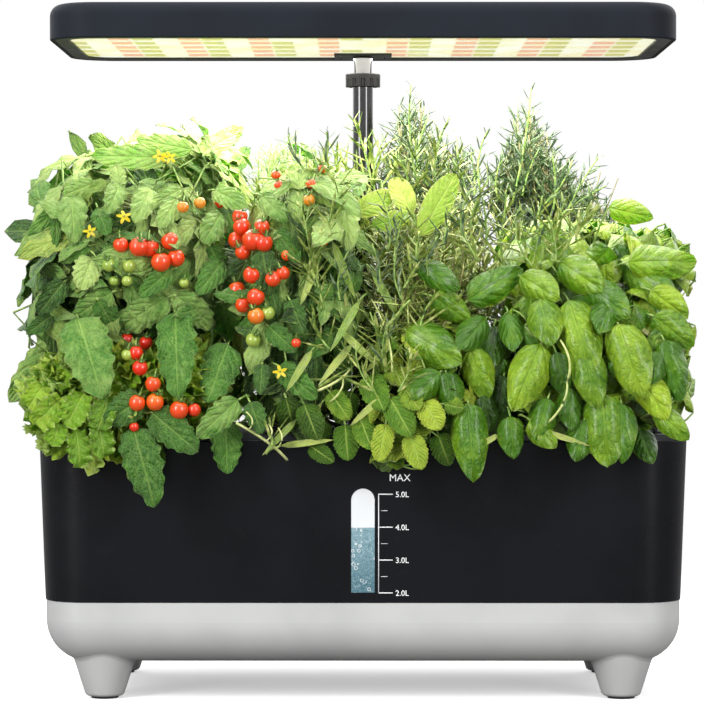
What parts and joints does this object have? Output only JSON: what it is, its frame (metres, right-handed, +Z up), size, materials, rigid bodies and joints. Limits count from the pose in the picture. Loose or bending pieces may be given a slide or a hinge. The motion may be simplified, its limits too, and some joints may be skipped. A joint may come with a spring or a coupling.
{
  "type": "countertop hydroponic garden",
  "caption": "Low water tank on feet with a front level window and a pod deck of mixed plants, under a flat lamp hood on a telescopic rear pole.",
  "frame": {"origin": "centre of the footprint, on the surface that the foot pads stand on", "axes": "+Z up; +X to the right seen from the front; -Y is the front, with the level window"},
  "size_m": [0.38, 0.224, 0.3868],
  "materials": {
    "tub_grey": "light grey satin moulded plastic",
    "rubber_dark": "soft matt rubber",
    "gloss_black": "satin black moulded plastic",
    "clear_window": "clear moulded plastic",
    "water": "clear water, at the density of a plastic",
    "deck_black": "fine-textured black plastic",
    "basket_black": "black moulded net basket",
    "sponge_brown": "dark brown growing sponge",
    "pin_steel": "bright steel pin",
    "pump_black": "black moulded plastic",
    "pump_white": "white moulded plastic",
    "lead_black": "black lead jacket",
    "inlet_black": "black moulded inlet",
    "pole_gloss": "gloss black plated steel tube",
    "collar_black": "matt black collar",
    "bush_white": "white sliding bush",
    "hood_black": "satin blue-black hood",
    "bezel_black": "matt black bezel",
    "diffuser_cream": "lit cream diffuser",
    "board_aluminium": "white-coated aluminium board",
    "led_white": "white LED chip",
    "led_red": "deep red LED chip",
    "led_warm": "warm LED chip",
    "screw_steel": "dark plated screws",
    "board_green": "green circuit board",
    "button_grey": "satin grey push button",
    "tomato_leaf": "mid-green hairy tomato foliage",
    "basil_leaf": "bright green glossy basil foliage",
    "rosemary_leaf": "grey-green rosemary needles",
    "lettuce_leaf": "light green frilly lettuce",
    "mint_leaf": "bright green serrated mint",
    "dill_leaf": "pale feathery dill",
    "tarragon_leaf": "narrow green tarragon leaves",
    "thyme_leaf": "fine-leaved thyme"
  },
  "bodies": {
    "garden_base": {"reservoir": "tub_grey", "foot_pads": "rubber_dark", "outer_sleeve": "gloss_black", "level_window": "clear_window", "window_seal": "rubber_dark", "water": "water", "grow_deck": "deck_black", "grow_basket_01": "basket_black", "grow_basket_02": "basket_black", "grow_basket_03": "basket_black", "grow_basket_04": "basket_black", "grow_basket_05": "basket_black", "grow_basket_06": "basket_black", "grow_basket_07": "basket_black", "grow_basket_08": "basket_black", "grow_basket_09": "basket_black", "grow_basket_10": "basket_black", "grow_basket_11": "basket_black", "grow_basket_12": "basket_black", "grow_sponges": "sponge_brown", "lettuce_plant": "lettuce_leaf", "tomato_plant_front": "tomato_leaf", "mint_plant": "mint_leaf", "basil_plant_front": "basil_leaf", "tomato_plant_left": "tomato_leaf", "tarragon_plant": "tarragon_leaf", "thyme_plant": "thyme_leaf", "basil_plant_middle": "basil_leaf", "tomato_plant_rear": "tomato_leaf", "dill_plant": "dill_leaf", "rosemary_plant_centre": "rosemary_leaf", "rosemary_plant_right": "rosemary_leaf", "fill_lid_pin": "pin_steel", "pump_body": "pump_black", "pump_cover": "pump_black", "pump_suction_feet": "rubber_dark", "pump_outlet": "pump_black", "pump_lead": "lead_black", "dc_inlet": "inlet_black", "pole_socket": "deck_black", "pole_lower_tube": "pole_gloss"},
    "lamp_head": {"pole_upper_tube": "pole_gloss", "slide_bush": "bush_white", "lamp_lead": "lead_black", "hood_shell": "hood_black", "hood_bezel": "bezel_black", "led_diffuser": "diffuser_cream", "led_board": "board_aluminium", "led_chips_white": "led_white", "led_chips_red": "led_red", "led_chips_warm": "led_warm", "pole_bracket": "bezel_black", "hood_screws": "screw_steel", "control_board": "board_green"},
    "lock_collar": {"lock_collar": "collar_black"},
    "fill_lid": {"fill_lid": "deck_black"},
    "pump_impeller": {"pump_impeller": "pump_white"},
    "light_button": {"light_button": "button_grey"},
    "pump_button": {"pump_button": "button_grey"},
    "timer_button": {"timer_button": "button_grey"}
  },
  "joints": [
    {"name": "lamp_extend", "type": "slide", "parent": "garden_base", "child": "lamp_head", "axis": [0, 0, 1], "range_m": [0, 0.15], "deforming": ["lamp_lead"]},
    {"name": "collar_twist", "type": "hinge", "parent": "garden_base", "child": "lock_collar", "pos_m": [0, 0.061, 0.352], "axis": [0, 0, 1], "range_deg": [0, 90]},
    {"name": "fill_lid_hinge", "type": "hinge", "parent": "garden_base", "child": "fill_lid", "pos_m": [0.168, 0, 0.1482], "axis": [0, 1, 0], "range_deg": [0, 100]},
    {"name": "impeller_spin", "type": "hinge", "parent": "garden_base", "child": "pump_impeller", "pos_m": [-0.134, 0, 0.043], "axis": [0, 1, 0], "continuous": true},
    {"name": "light_button_press", "type": "slide", "parent": "lamp_head", "child": "light_button", "axis": [0, 0, -1], "range_m": [0, 0.001], "stiffness_N_per_m": 300, "springref_m": -0.001},
    {"name": "pump_button_press", "type": "slide", "parent": "lamp_head", "child": "pump_button", "axis": [0, 0, -1], "range_m": [0, 0.001], "stiffness_N_per_m": 300, "springref_m": -0.001},
    {"name": "timer_button_press", "type": "slide", "parent": "lamp_head", "child": "timer_button", "axis": [0, 0, -1], "range_m": [0, 0.001], "stiffness_N_per_m": 300, "springref_m": -0.001}
  ]
}
